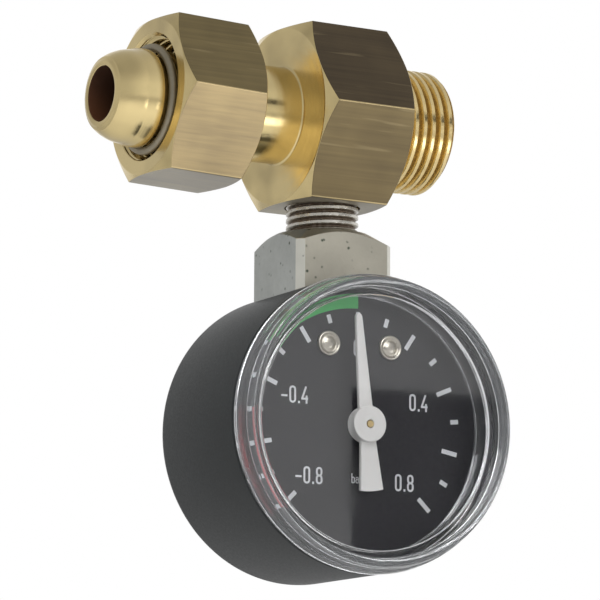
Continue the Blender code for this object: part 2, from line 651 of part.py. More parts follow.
def tube_end_piece():
    """Block that closes the tube's free end, with a plug inside the tube and a hole for the pin."""
    (x, z), _ = tube_end()
    turn = Matrix.Rotation(-radians(TUBE_FREE_END), 4, "Y")
    width, depth = 3.0, 7.6
    length = END_PIECE_LENGTH - 0.2
    body = box("tube_end_piece", (width, depth, length), (0.0, 0.0, -0.2 - length / 2))
    plug = box("plug", (1.0, 4.4, 2.0), (0.0, 0.0, 0.5), cutter=True)
    combine(body, "UNION", plug)
    hole = rod("end_hole", 0.65, depth, 0.6, 14, cutter=True)
    combine(body, "DIFFERENCE", placed(hole, (0.0, 0.0, -END_PIN_ALONG), FACING))
    piece = finish(body, DIAL, BRASS, (x, DIAL_BEFORE_STEM, z))
    piece.rotation_euler = turn.to_euler()


def link():
    """Bar from the sector's tail to the tube's end, slotted at the top, and its two pins."""
    x, z = end_pin()
    run = (x + SECTOR_TAIL, z + SECTOR_DROP)
    length = hypot(*run)
    lean = degrees_between((0.0, 0.0), run)
    turn = 180.0 - lean
    half = 1.7
    bar = arc(half, 90.0, 270.0, 9) + arc(half, -90.0, 90.0, 9, (length + LINK_SLOT, 0.0))
    slot = arc(LINK_SLOT_WIDTH / 2, 90.0, 270.0, 7, (length - LINK_SLOT, 0.0))
    slot += arc(LINK_SLOT_WIDTH / 2, -90.0, 90.0, 7, (length + LINK_SLOT, 0.0))
    outlines = [spun(bar, turn), circle(0.65, count=14), spun(slot, turn)]
    finish(plate("link", outlines, -7.0, -7.5), TAIL, STEEL, turn=FACING)
    lower = [(0.0, -5.4), (0.5, -5.4), (0.5, -7.65), (0.95, -7.65), (0.95, -8.0), (0.0, -8.0)]
    finish(turned("link_pin_lower", lower, 14), TAIL, STEEL, turn=FACING)
    upper = [(0.0, -6.4), (1.3, -6.4), (1.3, -6.85), (0.5, -6.85), (0.5, -12.8), (0.0, -12.8)]
    finish(turned("link_pin_upper", upper, 14), DIAL, STEEL, (x, 0.0, z), FACING)


def main():
    fitting_body()
    union_nut()
    retaining_ring()
    gauge_stem()
    restrictor_screw()
    case()
    window()
    dial()
    dial_screws()
    pointer()
    pinion_arbor()
    hairspring()
    sector()
    movement_plates()
    movement_screws()
    case_screws()
    bourdon_tube()
    tube_end_piece()
    link()


main()
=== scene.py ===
"""Suction line vacuum gauge: the looks of every piece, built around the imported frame.

Lengths are in millimetres until a surface is written. Three local frames are used: the fitting's,
with Z along the pipe towards the male thread; the dial's, with X right, Y up and Z out of the
dial; and the stem's, with Z up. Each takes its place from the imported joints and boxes.
"""

import json
from math import asin, cos, pi, radians, sin, sqrt, tan

import bmesh
import bpy
import numpy as np
from mathutils import Matrix, Vector


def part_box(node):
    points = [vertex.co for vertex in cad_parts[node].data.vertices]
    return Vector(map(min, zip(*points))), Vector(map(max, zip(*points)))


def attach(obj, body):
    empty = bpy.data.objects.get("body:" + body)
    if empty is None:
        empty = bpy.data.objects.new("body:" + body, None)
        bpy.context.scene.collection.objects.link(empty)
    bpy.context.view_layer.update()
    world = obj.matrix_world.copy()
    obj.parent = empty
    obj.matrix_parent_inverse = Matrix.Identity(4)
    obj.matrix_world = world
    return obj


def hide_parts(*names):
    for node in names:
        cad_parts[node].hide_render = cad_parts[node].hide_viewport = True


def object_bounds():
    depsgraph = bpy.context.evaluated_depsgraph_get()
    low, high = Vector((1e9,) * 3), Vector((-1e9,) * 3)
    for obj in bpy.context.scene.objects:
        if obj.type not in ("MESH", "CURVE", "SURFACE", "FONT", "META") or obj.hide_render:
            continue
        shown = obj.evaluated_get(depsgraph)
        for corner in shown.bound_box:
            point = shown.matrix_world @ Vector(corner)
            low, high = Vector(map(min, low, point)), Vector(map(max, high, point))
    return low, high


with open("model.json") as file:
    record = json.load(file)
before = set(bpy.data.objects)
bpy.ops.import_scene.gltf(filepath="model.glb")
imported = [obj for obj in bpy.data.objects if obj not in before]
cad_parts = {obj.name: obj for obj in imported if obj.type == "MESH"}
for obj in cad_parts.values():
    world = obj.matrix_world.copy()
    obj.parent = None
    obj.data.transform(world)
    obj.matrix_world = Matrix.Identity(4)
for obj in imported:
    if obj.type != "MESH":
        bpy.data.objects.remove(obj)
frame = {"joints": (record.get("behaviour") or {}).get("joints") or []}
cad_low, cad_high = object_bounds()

MM = 0.001
TURN = 2 * pi


# ---------------------------------------------------------------- places

JOINTS = {joint["name"]: joint for joint in frame["joints"]}
BODY_LOW, BODY_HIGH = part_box("fitting_body")
DIAL_CENTRE = Vector(JOINTS["pointer_turn"]["pos_m"])
BEHIND = Vector(JOINTS["pointer_turn"]["axis"]).normalized()
UP = Vector((0.0, 0.0, 1.0))
RIGHT = BEHIND.cross(UP)

MALE_END = 21.8
NOSE_END = (BODY_LOW.x - BODY_HIGH.x) / MM + MALE_END
STEM_TO_DIAL = 13.64


def frame_of(x, y, z, place):
    """The matrix that puts local X, Y and Z along three directions at a place in metres."""
    matrix = Matrix((x, y, z)).transposed().to_4x4()
    matrix.translation = place
    return matrix


FITTING = frame_of(-UP, Vector((0, 1, 0)), Vector((1, 0, 0)), Vector((BODY_HIGH.x - MALE_END * MM, 0, 0)))
DIAL = frame_of(RIGHT, UP, -BEHIND, DIAL_CENTRE)
STEM = frame_of(RIGHT, BEHIND, UP, DIAL_CENTRE + BEHIND * (STEM_TO_DIAL * MM))
NUT_PIVOT = -23.4
NUT_LEAN = Matrix.Rotation(radians(-1.5), 4, "Z") @ Matrix.Rotation(radians(2.5), 4, "Y")
NUT = FITTING @ Matrix.Translation((0, 0, NUT_PIVOT * MM))
NUT = Matrix.Translation(NUT.translation) @ NUT_LEAN @ Matrix.Translation(-NUT.translation) @ NUT
RING = FITTING @ Matrix.Translation((0, 0, -36.3 * MM))


# ---------------------------------------------------------------- surfaces

def angles(count):
    return np.arange(count) * TURN / count


def rounded(corners, reach=0.15, steps=4):
    """Rows along an outline whose inner corners are curved.

    Each corner gives way to a parabola that starts and ends on its two sides, at most `reach` from
    it, with one more row just outside each end, which keeps the sides flat. Corners are (radius,
    height), each a number or one value for every column.
    """
    columns = max(np.size(value) for corner in corners for value in corner)
    points = np.array([[np.broadcast_to(value, columns) for value in corner] for corner in corners])
    points = np.moveaxis(points.astype(float), 1, 2)
    rows = [points[:1]]
    share = np.linspace(0.0, 1.0, steps)[:, None, None]
    for before, here, after in zip(points[:-2], points[1:-1], points[2:]):
        back = before - here
        ahead = after - here
        back_length = np.linalg.norm(back, axis=-1, keepdims=True) + 1e-9
        ahead_length = np.linalg.norm(ahead, axis=-1, keepdims=True) + 1e-9
        near = np.minimum(reach, 0.45 * np.minimum(back_length, ahead_length))
        start = here + back / back_length * near
        end = here + ahead / ahead_length * near
        rows.append((here + (start - here) * 1.1)[None])
        rows.append((1 - share) ** 2 * start + 2 * share * (1 - share) * here + share**2 * end)
        rows.append((here + (end - here) * 1.1)[None])
    rows.append(points[-1:])
    return np.concatenate(rows)


class Outline:
    """Rows of (radius, height) for a shape turned about local Z, down the outside first."""

    def __init__(self, theta):
        self.theta = theta
        self.rows = []
        self.slots = []

    def add(self, corners, slots=0, reach=0.15, steps=4):
        """Rounded corners; slots may name the material slot of each side in turn."""
        sides = len(corners) - 1
        if isinstance(slots, int):
            slots = [slots] * sides
        rows_each = steps + 2
        first = rows_each // 2
        for side in range(sides):
            before = 1 if side == 0 else rows_each - first
            after = 1 if side == sides - 1 else first
            self.slots += [slots[side]] * (before + after)
        rows = rounded(corners, reach, steps)
        self.rows.append(np.broadcast_to(rows, (len(rows), len(self.theta), 2)))
        return self

    def add_rows(self, rows, slot=0):
        rows = np.broadcast_to(rows, (len(rows), len(self.theta), 2))
        self.rows.append(rows)
        self.slots += [slot] * len(rows)
        return self

    def points(self):
        """x = r cos(theta), y = r sin(theta), z = height, for every row and column."""
        rows = np.concatenate(self.rows)
        radius = rows[..., 0]
        return np.stack((radius * np.cos(self.theta), radius * np.sin(self.theta), rows[..., 1]), axis=-1)


def write_mesh(name, points, faces, matrix, slots=None):
    """One mesh object from points in mm and face corners, its doubles merged and smooth shaded."""
    mesh = bpy.data.meshes.new(name)
    mesh.from_pydata((points * MM).tolist(), [], faces.tolist())
    if slots is not None:
        mesh.polygons.foreach_set("material_index", slots)
    mesh.transform(matrix)
    shape = bmesh.new()
    shape.from_mesh(mesh)
    bmesh.ops.remove_doubles(shape, verts=shape.verts, dist=2e-7)
    bmesh.ops.dissolve_degenerate(shape, edges=shape.edges, dist=2e-7)
    shape.to_mesh(mesh)
    shape.free()
    mesh.shade_smooth()
    piece = bpy.data.objects.new(name, mesh)
    bpy.context.scene.collection.objects.link(piece)
    return piece


def quads(rows, columns, ring_rows, ring_columns):
    """Corner numbers of the grid's faces, with the last row or column joined to the first if asked."""
    i = np.arange(rows if ring_rows else rows - 1)[:, None]
    j = np.arange(columns if ring_columns else columns - 1)[None, :]
    below = (i + 1) % rows
    beside = (j + 1) % columns
    corners = (i * columns + j, below * columns + j, below * columns + beside, i * columns + beside)
    return np.stack([np.broadcast_to(c, (i.size, j.size)) for c in corners], axis=-1).reshape(-1, 4)


def grid(name, points, matrix, ring_rows=False, ring_columns=True, row_slots=None):
    """A surface over rows and columns of points; rows that shrink to one point close it."""
    rows, columns = points.shape[:2]
    faces = quads(rows, columns, ring_rows, ring_columns)
    slots = None
    if row_slots is not None:
        used = np.array(row_slots[: rows if ring_rows else rows - 1])
        slots = np.repeat(used, columns if ring_columns else columns - 1).astype(np.int32)
    return write_mesh(name, points.reshape(-1, 3), faces, matrix, slots)


def turned(name, outline, matrix, closed=True):
    return grid(name, outline.points(), matrix, ring_rows=closed, row_slots=outline.slots)


def joined(name, pieces):
    """Several mesh objects as one."""
    shape = bmesh.new()
    for piece in pieces:
        shape.from_mesh(piece.data)
    mesh = bpy.data.meshes.new(name)
    shape.to_mesh(mesh)
    shape.free()
    for piece in pieces:
        bpy.data.objects.remove(piece)
    whole = bpy.data.objects.new(name, mesh)
    bpy.context.scene.collection.objects.link(whole)
    return whole


def swept(name, path, section, matrix, closed=False):
    """A section of (sideways, upwards) points carried along a flat path of (x, y, z) points.

    Sideways is square to the path within local XY, and upwards is local Z. An open end is closed by
    shrinking its last section to the path.
    """
    path = np.asarray(path, float)
    section = np.asarray(section, float)
    if closed:
        ahead = np.roll(path, -1, axis=0) - np.roll(path, 1, axis=0)
    else:
        ahead = np.gradient(path, axis=0)
    ahead[:, 2] = 0.0
    ahead /= np.linalg.norm(ahead, axis=1, keepdims=True)
    side = np.stack((ahead[:, 1], -ahead[:, 0], np.zeros(len(path))), axis=1)
    points = path[:, None, :] + side[:, None, :] * section[None, :, :1]
    points = points + np.array([0.0, 0.0, 1.0]) * section[None, :, 1:]
    if not closed:
        first = points[:1].mean(axis=1, keepdims=True) + np.zeros_like(points[:1])
        last = points[-1:].mean(axis=1, keepdims=True) + np.zeros_like(points[-1:])
        points = np.concatenate((first, points, last))
    return grid(name, points, matrix, ring_rows=closed)


def cut(piece, cutter):
    """Take the cutter's space out of a piece, and remove the cutter."""
    step = piece.modifiers.new("cut", "BOOLEAN")
    step.operation = "DIFFERENCE"
    step.solver = "EXACT"
    step.object = cutter
    bpy.context.view_layer.update()
    graph = bpy.context.evaluated_depsgraph_get()
    mesh = bpy.data.meshes.new_from_object(piece.evaluated_get(graph))
    piece.modifiers.remove(step)
    piece.data = mesh
    bpy.data.objects.remove(cutter)


def box(name, size, centre, matrix):
    """A plain closed box in mm, used as a cutter: the eight corners are centre plus or minus half."""
    signs = np.array([(x, y, z) for x in (-1, 1) for y in (-1, 1) for z in (-1, 1)], float)
    corners = signs * np.array(size) / 2 + np.array(centre)
    faces = np.array([(0, 1, 3, 2), (4, 6, 7, 5), (0, 4, 5, 1), (2, 3, 7, 6), (0, 2, 6, 4), (1, 5, 7, 3)])
    return write_mesh(name, corners, faces, matrix)


def sharpen(piece, angle=32.0):
    piece.data.shade_smooth()
    piece.data.set_sharp_from_angle(angle=radians(angle))


def dress(piece, looks):
    """Put the materials in their slots before a cut, so that the cut keeps them."""
    for look in looks:
        piece.data.materials.append(look)
    return piece


def settle(piece, body, slot, looks, *nodes, sharp=32.0):
    """Give a finished piece its materials, its body and the CAD nodes it stands for; the slot is not used."""
    sharpen(piece, sharp)
    if not piece.data.materials:
        dress(piece, looks)
    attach(piece, body)
    if nodes:
        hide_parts(*nodes)
    return piece


# ---------------------------------------------------------------- outlines of polygons and threads

def polygon_columns(sides, first_corner, near, flat_count):
    """Angles that crowd round each corner of a polygon, at the offsets `near`, and are even between."""
    step = TURN / sides
    along = np.linspace(near[-1], step + near[0], flat_count + 2)[1:-1]
    one = np.concatenate((near, along))
    return (np.arange(sides)[:, None] * step + first_corner + one[None, :]).ravel()


def polygon_radius(theta, sides, apothem, first_corner, corner_radius):
    """Distance to a polygon with rounded corners: apothem / cos(offset) on a flat, an arc at a corner."""
    step = TURN / sides
    offset = (theta - first_corner + step / 2) % step - step / 2
    flat = apothem / np.cos(step / 2 - np.abs(offset))
    centre = (apothem - corner_radius) / cos(step / 2)
    under = np.maximum(corner_radius**2 - (centre * np.sin(offset)) ** 2, 0.0)
    arc = centre * np.cos(offset) + np.sqrt(under)
    edge = np.arctan2(corner_radius * sin(step / 2), centre + corner_radius * cos(step / 2))
    return np.where(np.abs(offset) < edge, arc, flat)


def chamfered(theta_radius, start, top, bottom, angle=30.0):
    """Outer corners of a prism whose ends are turned to a cone that starts at a given radius."""
    drop = np.maximum(theta_radius - start, 0.0) * tan(radians(angle))
    return [(start, top), (theta_radius, top - drop), (theta_radius, bottom + drop), (start, bottom)]


def thread_rows(theta, crest, root, top, bottom, pitch, start, inside=False, per_pitch=28):
    """Rows over a helical thread: the radius is a rounded saw of (height - pitch * turns) / pitch.

    The saw runs between root and crest and fades to the root at the far end. `start` is a radius and a
    slope: the radius is capped at radius + slope * (top - height), the thread's chamfered start.
    """
    count = int(abs(top - bottom) / pitch * per_pitch)
    height = np.linspace(top, bottom, count)[:, None]
    phase = (height / pitch - theta[None, :] / TURN) % 1.0
    saw = 1.0 - 4.0 * np.abs(phase - 0.5)
    wave = np.sin(pi / 2 * np.clip(1.7 * saw + 0.4, -1.0, 1.0))
    far = np.clip(np.abs(height - bottom) / (0.7 * pitch), 0.0, 1.0)
    depth = (crest - root) * far
    radius = root + depth * (0.5 + 0.5 * wave)
    capped = start[0] + start[1] * (top - height)
    radius = np.maximum(radius, capped) if inside else np.minimum(radius, capped)
    return np.stack((radius, np.broadcast_to(height, radius.shape)), axis=-1)


def ring_points(radius, start, end, count, centre=(0.0, 0.0)):
    """Points on a circle between two angles in degrees."""
    angle = np.radians(np.linspace(start, end, count))
    return np.stack((centre[0] + radius * np.cos(angle), centre[1] + radius * np.sin(angle)), axis=1)


# ---------------------------------------------------------------- brass fitting

BODY_APOTHEM = 16.0
BODY_HALF = 9.4
NECK_RADIUS = 8.75
GROOVE_RADIUS = 8.0
BALL_RADIUS = 8.4
BALL_CENTRE = -40.1
BORE_RADIUS = 4.9
SEAT_RADIUS = 7.58
NUT_APOTHEM = 14.0
NUT_BACK, NUT_FRONT = 3.75, -12.8
FLANGE_RADIUS = 9.3
MOUTH_RADIUS = 11.5
PIPE_PITCH = 1.814
HEX_CORNER_RADIUS = 0.25
HEX_CORNERS = np.radians([-0.7, -0.45, -0.22, 0.0, 0.22, 0.45, 0.7])
HEX_COLUMNS = polygon_columns(6, pi / 6, HEX_CORNERS, 16)
TURNED_SIDE, DRAWN_SIDE, THREAD_SIDE, BORE_SIDE = 0, 1, 2, 3


def make_fitting_body(looks):
    """Hexagon with a neck, groove, collar and ball nose in front and a male thread behind.

    One outline turned about Z: radius polygon(theta) on the hexagon, a helical saw on the thread, and
    R cos(bend) at height C - R sin(bend) on the ball. The stem's port is cut from below.
    """
    theta = HEX_COLUMNS
    half = BODY_HALF
    neck, groove, bore = NECK_RADIUS, GROOVE_RADIUS, BORE_RADIUS
    crest, root, thread_end = 11.35, 10.3, 10.7
    flats = polygon_radius(theta, 6, BODY_APOTHEM, pi / 6, HEX_CORNER_RADIUS)
    body = Outline(theta)
    body.add([(SEAT_RADIUS, MALE_END), (root, MALE_END)])
    thread = thread_rows(theta, crest, root, MALE_END, thread_end, PIPE_PITCH, (root + 0.05, 1.0))
    body.add_rows(thread, THREAD_SIDE)
    body.add([(10.25, 10.6), (10.05, 10.3), (10.05, half - 0.1)])
    hexagon = [(10.1, half), *chamfered(flats, 15.9, half, -half), (9.0, -half), (neck, -half - 0.3)]
    sides = [TURNED_SIDE, TURNED_SIDE, DRAWN_SIDE, TURNED_SIDE, TURNED_SIDE, TURNED_SIDE]
    body.add(hexagon, sides, 0.12)
    front = [(neck, -half - 0.4), (neck, -35.0), (groove, -35.1), (groove, -37.5), (neck, -37.6)]
    body.add([*front, (neck, -39.5)], TURNED_SIDE, 0.12)
    first_bend = asin(0.05)
    last_bend = asin((BALL_CENTRE - NOSE_END - 0.35) / BALL_RADIUS)
    bend = np.linspace(first_bend, last_bend, 26)
    ball = np.stack((BALL_RADIUS * np.cos(bend), BALL_CENTRE - BALL_RADIUS * np.sin(bend)), axis=1)
    body.add_rows(ball[:, None, :])
    lip = [(6.2, NOSE_END + 0.25), (5.75, NOSE_END), (bore, NOSE_END)]
    lip += [(bore, -38.0), (bore, 0.0), (bore, 17.8)]
    body.add(lip, [TURNED_SIDE, TURNED_SIDE, BORE_SIDE, BORE_SIDE, BORE_SIDE], 0.3)
    piece = dress(turned("fitting_body_turned", body, FITTING), looks)
    port = Outline(angles(96))
    port.add([(0.0, 50.0), (6.85, 50.0), (6.85, 41.0), (7.1, 40.8), (7.1, 40.0), (0.0, 40.0)], reach=0.01)
    cut(piece, turned("stem_port", port, STEM, closed=False))
    return settle(piece, "gauge", "turned_brass", looks, "fitting_body", sharp=28.0)


def make_union_nut(looks):
    """Hexagon nut: flange behind, helical thread inside, countersunk mouth in front."""
    theta = HEX_COLUMNS
    back, front = NUT_BACK, NUT_FRONT
    crest, root, thread_end = 10.55, 11.35, -0.6
    flats = polygon_radius(theta, 6, NUT_APOTHEM, pi / 6, HEX_CORNER_RADIUS)
    nut = Outline(theta)
    hexagon = chamfered(flats, 13.9, back, front)
    outside = [(FLANGE_RADIUS, 2.0), (FLANGE_RADIUS, back), *hexagon, (MOUTH_RADIUS, front)]
    sides = [TURNED_SIDE, TURNED_SIDE, TURNED_SIDE, DRAWN_SIDE, TURNED_SIDE, TURNED_SIDE]
    nut.add(outside, sides, 0.12)
    inset, slope = 0.05, 0.75
    start = (MOUTH_RADIUS - slope * inset, slope)
    thread = thread_rows(theta, crest, root, front + inset, thread_end, PIPE_PITCH, start, inside=True)
    nut.add_rows(thread, THREAD_SIDE)
    nut.add([(root, -0.5), (root, 0.0), (FLANGE_RADIUS, 0.0), (FLANGE_RADIUS, 1.0)], TURNED_SIDE)
    return settle(turned("union_nut_turned", nut, NUT), "nut", "turned_brass", looks, "union_nut", sharp=28.0)


def make_retaining_ring(look):
    """Round wire sprung into the groove: a circle carried round an arc of 340 degrees."""
    ring_radius, wire_radius, count = 9.15, 0.75, 120
    path = np.column_stack((ring_points(ring_radius, 100.0, 440.0, count), np.zeros(count)))
    section = ring_points(wire_radius, 0.0, 345.0, 24)
    ring = swept("retaining_ring_wire", path, section, RING)
    return settle(ring, "ring", "spring_steel", [look], "retaining_ring", sharp=60.0)


# ---------------------------------------------------------------- stem, case and window

BLOCK_HALF = 9.5
BLOCK_BEVEL = 1.2
BLOCK_TOP, BLOCK_BOTTOM = 36.0, 11.0
STEM_END = 49.6
STEM_PITCH = 1.337
CASE_RADIUS, CASE_INSIDE = 26.2, 24.6
CASE_FLOOR, CASE_BACK = -24.0, -26.5
CASE_FRONT = 3.75
SCREW_SEAT = -25.1


def make_gauge_stem(looks):
    """Square block with bevelled edges, a turned top and a threaded stub.

    The block's radius is the smaller of half / cos(angle from a face) and bevel / cos(angle from a
    corner), and its top drops by 30 degrees from a circle just inside the faces.
    """
    edge = 45.0 - np.degrees(np.arctan2(BLOCK_HALF - BLOCK_BEVEL, BLOCK_HALF))
    near = np.radians([-edge - 0.5, -edge, -edge * 0.5, 0.0, edge * 0.5, edge, edge + 0.5])
    theta = polygon_columns(4, pi / 4, near, 24)
    from_face = (theta + pi / 4) % (pi / 2) - pi / 4
    from_corner = theta % (pi / 2) - pi / 4
    bevel = (BLOCK_HALF * sqrt(2.0) - BLOCK_BEVEL / sqrt(2.0)) / np.cos(from_corner)
    flats = np.minimum(BLOCK_HALF / np.cos(from_face), bevel)
    crown = 8.5
    drop = (flats - crown) * tan(radians(30.0))
    top, bottom = BLOCK_TOP, BLOCK_BOTTOM
    crest, root, bore, neck = 6.55, 5.8, 2.1, 5.75
    stem = Outline(theta)
    stem.add([(0.0, 45.1), (bore, 45.1), (bore, STEM_END), (5.6, STEM_END)], THREAD_SIDE)
    stem.add_rows(thread_rows(theta, crest, root, STEM_END, top + 0.15, STEM_PITCH, (5.7, 1.0)), THREAD_SIDE)
    block = [(crown, top), (flats, top - drop), (flats, bottom), (0.0, bottom)]
    stem.add([(neck, top + 0.1), (neck, top), *block])
    piece = turned("gauge_stem_plated", stem, STEM, closed=False)
    return settle(piece, "gauge", "nickel_plate", looks, "gauge_stem", sharp=20.0)


def make_case(look):
    """Cup with rounded edges, a slot for the block and sunk screw holes behind."""
    cup = Outline(angles(240))
    inside = [(0.0, CASE_FLOOR), (CASE_INSIDE - 0.6, CASE_FLOOR), (CASE_INSIDE, CASE_FLOOR + 0.6)]
    mouth = [(CASE_INSIDE, CASE_FRONT), (CASE_RADIUS - 0.1, CASE_FRONT), (CASE_RADIUS, CASE_FRONT - 0.35)]
    cup.add(inside + mouth, reach=0.25)
    edge = 2.5
    back = ring_points(edge, 0.0, -90.0, 12, (CASE_RADIUS - edge, CASE_BACK + edge))
    cup.add_rows(back[:, None, :])
    cup.add([(23.0, CASE_BACK), (0.0, CASE_BACK)])
    piece = dress(turned("case_moulding", cup, DIAL, closed=False), [look])
    slot = 2 * BLOCK_HALF + 0.5
    cut(piece, box("block_slot", (slot, 12.0, slot), (0.0, 24.0, -STEM_TO_DIAL), DIAL))
    shank, head = 1.35, 2.7
    for side in (-1, 1):
        hole = Outline(angles(48))
        inner = [(0.0, CASE_FLOOR + 1.0), (shank, CASE_FLOOR + 1.0), (shank, SCREW_SEAT), (head, SCREW_SEAT)]
        hole.add([*inner, (head, CASE_BACK - 1.5), (0.0, CASE_BACK - 1.5)])
        place = DIAL @ Matrix.Translation((side * 5.0 * MM, 16.0 * MM, 0.0))
        cut(piece, turned("screw_hole", hole, place, closed=False))
    return settle(piece, "gauge", "case_black", [look], "case", sharp=30.0)


def make_window(looks):
    """Clear cap: a pane, a stepped rim that stands round it, and a skirt inside the case."""
    cap = Outline(angles(576))
    corners = [
        (0.0, 8.8), (23.8, 8.8), (24.2, 9.9), (24.6, 10.3), (25.1, 10.3), (25.4, 9.9),
        (25.9, 7.5), (26.1, 7.35), (26.4, 5.5), (26.1, 4.25), (25.9, 4.05), (24.3, 4.05),
        (24.3, 0.9), (22.8, 0.9), (22.8, 5.9), (22.6, 6.5), (22.5, 7.1), (0.0, 7.1),
    ]
    pane, rim = 0, 1
    cap.add(corners, [pane] + [rim] * 15 + [pane], reach=0.2, steps=5)
    return settle(turned("window_cap", cap, DIAL, closed=False), "gauge", "window_clear", looks, "window")


# ---------------------------------------------------------------- dial

STEP = 270.0 / 16
PRINT_HEIGHT = 0.02
PRINT_SHIFT = -0.15
LONG_TICK, SHORT_TICK, TICK_END = 17.2, 18.74, 20.3
TICK_WIDTH = 0.8


def dial_angle(tenths):
    """Angle in degrees, from local X, of a reading in tenths of a bar; zero is straight up."""
    return 90.0 - tenths * STEP


def ribbon(name, path, width, closed=False):
    """A line of print: a flat strip of even width carried along a path."""
    half = width / 2
    section = [(half, -0.01), (half, PRINT_HEIGHT), (-half, PRINT_HEIGHT), (-half, -0.01)]
    path = np.asarray(path, float)
    path = np.column_stack((path[:, 0] + PRINT_SHIFT, path[:, 1], np.zeros(len(path))))
    return swept(name, path, section, DIAL, closed)


def tick_marks():
    marks = []
    for tenths in range(-8, 9):
        angle = radians(dial_angle(tenths))
        inner = LONG_TICK if tenths % 2 == 0 else SHORT_TICK
        ends = np.array([[inner], [TICK_END]]) * np.array([cos(angle), sin(angle)])
        marks.append(ribbon("tick", ends, TICK_WIDTH))
    return joined("dial_ticks", marks)


def band(name, inner, outer, first, last):
    """A coloured arc between two readings in tenths of a bar."""
    path = ring_points((inner + outer) / 2, dial_angle(first), dial_angle(last), 80)
    return ribbon(name, path, outer - inner)


def stadium(width, height, centre, count=12):
    """A closed upright loop with half-round ends."""
    radius = width / 2
    x, y = centre
    upper = ring_points(radius, 0.0, 180.0, count, (x, y + height / 2 - radius))
    lower = ring_points(radius, 180.0, 360.0, count, (x, y - height / 2 + radius))
    return np.concatenate((upper, lower))


DIGIT_HEIGHT = 3.05
DIGIT_WIDTH = 1.32
STROKE = 0.36


def draw_character(character, x, y):
    """Strokes of one narrow figure centred at x, y, as (points, closed)."""
    wide = DIGIT_WIDTH - STROKE
    tall = DIGIT_HEIGHT - STROKE
    if character == "0":
        return [(stadium(wide, tall, (x, y)), True)]
    if character == "8":
        upper = stadium(wide - 0.06, tall * 0.49, (x, y + tall * 0.255))
        lower = stadium(wide, tall * 0.51, (x, y - tall * 0.245))
        return [(upper, True), (lower, True)]
    if character == "4":
        left, right = x - wide / 2 - 0.1, x + wide / 2 + 0.12
        bar = y - tall / 2 + 0.68
        slope = np.array([(x + 0.2, y + tall / 2 + 0.14), (left, bar)])
        across = np.array([(left - 0.14, bar), (right, bar)])
        upright = np.array([(x + 0.3, y - 0.1), (x + 0.3, y - tall / 2 - STROKE / 2)])
        return [(slope, False), (across, False), (upright, False)]
    if character == ".":
        low = y - DIGIT_HEIGHT / 2
        return [(np.array([(x, low), (x, low + 0.42)]), False)]
    return [(np.array([(x - 0.6, y - 0.3), (x + 0.6, y - 0.3)]), False)]


def dial_labels():
    """Numbers at every fourth division and the unit's name below the centre."""
    strokes = []
    spacing = 1.2
    labels = [("", "4", 12.2, 4.9), ("", "8", 9.35, -9.5), ("-", "4", -11.6, 4.9), ("-", "8", -8.75, -9.1)]
    for sign, last, x, y in labels:
        strokes += draw_character("0", x - spacing - 0.02, y)
        strokes += draw_character(".", x + 0.02, y)
        strokes += draw_character(last, x + spacing, y)
        if sign:
            strokes += draw_character(sign, x - 2.85, y)
    strokes += draw_character("0", -0.2, 13.9)
    lines = [ribbon("stroke", points, STROKE, closed) for points, closed in strokes]
    lines += unit_letters(-1.1, -10.0)
    return joined("dial_labels", lines)


def unit_letters(x, y):
    """The letters b, a and r, drawn as upright strokes and narrow loops."""
    width, height, line = 0.5, 1.0, 0.2
    paths = [(np.array([(x, y), (x, y + 1.65)]), False)]
    paths.append((stadium(width, height, (x + width / 2, y + height / 2), 8), True))
    x += width + 0.3
    paths.append((stadium(width, height * 0.62, (x + width / 2, y + height * 0.31), 8), True))
    paths.append((np.array([(x + width, y), (x + width, y + height - 0.2)]), False))
    paths.append((ring_points(width / 2, 0.0, 170.0, 8, (x + width / 2, y + height - width / 2)), False))
    x += width + 0.32
    paths.append((np.array([(x, y), (x, y + height)]), False))
    paths.append((ring_points(0.32, 170.0, 70.0, 6, (x + 0.3, y + height - 0.32)), False))
    return [ribbon("letter", points, line, closed) for points, closed in paths]


def make_dial(looks):
    """The disc, and the four prints on its face."""
    disc = Outline(angles(240))
    disc.add([(0.0, 0.0), (24.0, 0.0), (24.0, -0.5), (0.0, -0.5)], reach=0.05)
    face = turned("dial_face", disc, DIAL, closed=False)
    settle(face, "gauge", "dial_grey", [looks["dial"]], "dial")
    prints = [
        (tick_marks(), "print_white"),
        (dial_labels(), "print_white"),
        (band("dial_green_band", 20.9, 23.2, 0, -3), "print_green"),
        (band("dial_red_band", 21.3, 23.2, -5, -8), "print_red"),
    ]
    for piece, look in prints:
        settle(piece, "gauge", "dial_grey", [looks[look]])


def make_dial_screws(look):
    """Two heads with a raised rim, a groove and a domed middle."""
    for side, name in ((-1, "left"), (1, "right")):
        head = Outline(angles(72))
        dome = [(0.0, 0.8), (0.45, 0.78), (0.85, 0.68), (1.12, 0.5), (1.3, 0.36), (1.5, 0.36)]
        rim = [(1.72, 0.62), (1.95, 0.78), (2.15, 0.66), (2.2, 0.4), (2.2, 0.15), (0.95, 0.15)]
        head.add(dome + rim + [(0.95, -8.6), (0.0, -8.6)], reach=0.12, steps=5)
        place = DIAL @ Matrix.Translation((side * 6.1 * MM, 14.3 * MM, 0.0))
        piece = turned(f"dial_screw_{name}_head", head, place, closed=False)
        settle(piece, "gauge", "screw_steel", [look], f"dial_screw_{name}", sharp=50.0)


